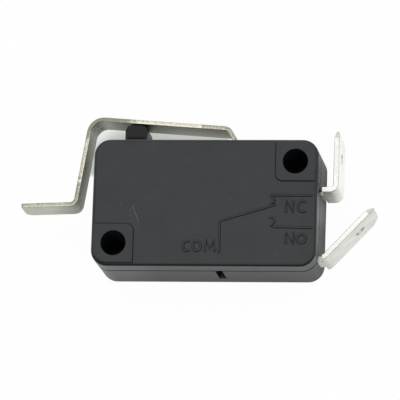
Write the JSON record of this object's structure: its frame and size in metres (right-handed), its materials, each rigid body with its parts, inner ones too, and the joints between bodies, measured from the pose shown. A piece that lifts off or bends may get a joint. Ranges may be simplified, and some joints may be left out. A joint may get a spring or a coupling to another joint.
{
  "type": "micro switch",
  "caption": "Black moulded snap-action switch with a cranked metal lever over its plunger, quick-connect tabs at one end and screw holes through the body.",
  "frame": {"origin": "on the axis of the lower left mounting hole, at the back face", "axes": "+X towards the tabs, +Y towards the plunger, +Z out of the front face"},
  "size_m": [0.0439, 0.0193, 0.0103],
  "materials": {
    "body_plastic": "moulded phenolic, satin",
    "plunger_plastic": "moulded nylon, satin",
    "lever_steel": "rolled stainless strip, sheared edges",
    "terminal_plate": "silver-plated brass strip",
    "contact_silver": "silver alloy rivet",
    "leaf_bronze": "rolled bronze strip",
    "spring_steel": "drawn spring wire"
  },
  "bodies": {
    "base": {"case": "body_plastic", "cover": "body_plastic", "nc_terminal": "terminal_plate", "nc_contact": "contact_silver", "common_terminal": "terminal_plate"},
    "lever": {"lever": "lever_steel"},
    "plunger": {"plunger": "plunger_plastic"},
    "leaf": {"drive_leaf": "leaf_bronze"},
    "arm": {"contact_arm": "leaf_bronze", "moving_contact": "contact_silver"},
    "spring": {"tension_spring": "spring_steel"}
  },
  "joints": [
    {"name": "lever_hinge", "type": "hinge", "parent": "base", "child": "lever", "pos_m": [0.01505, 0.0124, 0.00515], "axis": [0, 0, 1], "range_deg": [0, 8.55], "stiffness_Nm_per_rad": 0.02, "springref_deg": -8.59},
    {"name": "plunger_slide", "type": "slide", "parent": "base", "child": "plunger", "axis": [0, -1, 0], "range_m": [0, 0.00198]},
    {"name": "leaf_hinge", "type": "hinge", "parent": "base", "child": "leaf", "pos_m": [-0.00075, 0.00635, 0.0047], "axis": [0, 0, 1], "range_deg": [-42, 0]},
    {"name": "arm_hinge", "type": "hinge", "parent": "base", "child": "arm", "pos_m": [0.00683, 0.00545, 0.0047], "axis": [0, 0, 1], "range_deg": [-5.2, 0]},
    {"name": "spring_turn", "type": "hinge", "parent": "arm", "child": "spring", "pos_m": [0.01363, 0.00545, 0.0047], "axis": [0, 0, 1], "range_deg": [0, 22.3], "deforming": ["tension_spring"]}
  ],
  "couplings": [
    {"joint": "plunger_slide", "follows": "lever_hinge", "m_per_rad": 0.0132},
    {"joint": "leaf_hinge", "follows": "lever_hinge", "ratio": -4.9},
    {"joint": "arm_hinge", "follows": "lever_hinge", "ratio": -0.6},
    {"joint": "spring_turn", "follows": "lever_hinge", "ratio": 2.6}
  ]
}
